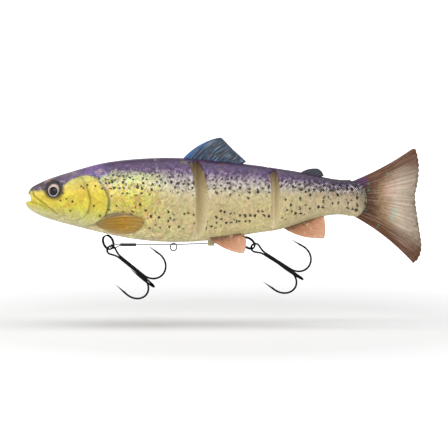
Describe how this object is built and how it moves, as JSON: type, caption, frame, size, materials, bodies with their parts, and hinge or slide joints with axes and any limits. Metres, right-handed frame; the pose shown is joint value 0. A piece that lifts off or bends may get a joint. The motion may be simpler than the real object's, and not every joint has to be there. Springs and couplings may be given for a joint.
{
  "type": "swimbait",
  "caption": "Jointed soft trout lure in three hinged sections with a flexing tail fin, a line tube and a wire trace carrying two treble hooks.",
  "frame": {"origin": "mouth end of the line tube, on the centre plane", "axes": "+X from the mouth to the tail, +Z towards the back, +Y to the fish's right-hand side"},
  "size_m": [0.25, 0.0416, 0.1031],
  "materials": {
    "soft_body": "soft moulded plastic, painted, satin",
    "soft_fin": "soft moulded plastic, tinted, satin",
    "clear_plastic": "translucent grey",
    "frame_plastic": "natural nylon",
    "black_plastic": "moulded black",
    "keel_metal": "as cast",
    "pin_steel": "drawn stainless",
    "eye_foil": "printed foil",
    "eye_resin": "clear domed resin",
    "hook_steel": "black nickel",
    "ring_steel": "black nickel",
    "trace_steel": "grey coated wire",
    "sleeve_black": "matt black crimp"
  },
  "bodies": {
    "head": {"head_section": "soft_body", "line_tube": "clear_plastic", "mouth_grommet": "black_plastic", "belly_grommet": "black_plastic", "head_keel_weight": "keel_metal", "head_hinge_frame": "frame_plastic", "left_eye_disc": "eye_foil", "left_eye_lens": "eye_resin", "right_eye_disc": "eye_foil", "right_eye_lens": "eye_resin", "left_pectoral_fin": "soft_fin", "right_pectoral_fin": "soft_fin", "front_hinge_pin": "pin_steel", "front_trace_wire": "trace_steel", "front_crimp_sleeve": "sleeve_black"},
    "middle": {"middle_section": "soft_body", "middle_spine_frame": "frame_plastic", "middle_keel_weight": "keel_metal", "dorsal_fin": "soft_fin", "left_pelvic_fin": "soft_fin", "right_pelvic_fin": "soft_fin", "wire_keeper": "clear_plastic", "rear_hinge_pin": "pin_steel", "rear_trace_wire": "trace_steel", "rear_crimp_sleeve": "sleeve_black"},
    "tail": {"tail_section": "soft_body", "tail_hinge_frame": "frame_plastic", "adipose_fin": "soft_fin", "anal_fin": "soft_fin"},
    "tail_fin": {"tail_fin": "soft_fin"},
    "tie_ring": {"tie_ring": "ring_steel"},
    "front_ring": {"front_split_ring": "ring_steel"},
    "front_treble": {"front_double_hook": "hook_steel", "front_single_hook": "hook_steel"},
    "rear_ring": {"rear_split_ring": "ring_steel"},
    "rear_treble": {"rear_double_hook": "hook_steel", "rear_single_hook": "hook_steel"}
  },
  "joints": [
    {"name": "front_body_joint", "type": "hinge", "parent": "head", "child": "middle", "pos_m": [0.103, 0, -0.0016], "axis": [0, 0, 1], "range_deg": [-22, 22]},
    {"name": "rear_body_joint", "type": "hinge", "parent": "middle", "child": "tail", "pos_m": [0.1526, 0, -0.001], "axis": [0, 0, 1], "range_deg": [-22, 22]},
    {"name": "tail_fin_flex", "type": "hinge", "parent": "tail", "child": "tail_fin", "pos_m": [0.2052, 0, 0], "axis": [0, 0, 1], "range_deg": [-9, 9], "stiffness_Nm_per_rad": 0.03},
    {"name": "tie_ring_swing", "type": "hinge", "parent": "head", "child": "tie_ring", "pos_m": [0.0901, 0, -0.02979], "axis": [1, 0, 0], "range_deg": [-30, 30]},
    {"name": "front_ring_swing", "type": "hinge", "parent": "head", "child": "front_ring", "pos_m": [0.05185, 0.00118, -0.03101], "axis": [0, 0.766, 0.6428], "range_deg": [-6, 3]},
    {"name": "front_hook_swing", "type": "hinge", "parent": "front_ring", "child": "front_treble", "pos_m": [0.05014, -0.00191, -0.03254], "axis": [0, 1, 0], "range_deg": [-4, 75]},
    {"name": "rear_ring_swing", "type": "hinge", "parent": "middle", "child": "rear_ring", "pos_m": [0.13362, 0, -0.02625], "axis": [0, 0.8746, 0.4848], "range_deg": [-12, 40]},
    {"name": "rear_hook_swing", "type": "hinge", "parent": "rear_ring", "child": "rear_treble", "pos_m": [0.14118, 0, -0.03132], "axis": [0, 1, 0], "range_deg": [-8, 60]}
  ]
}
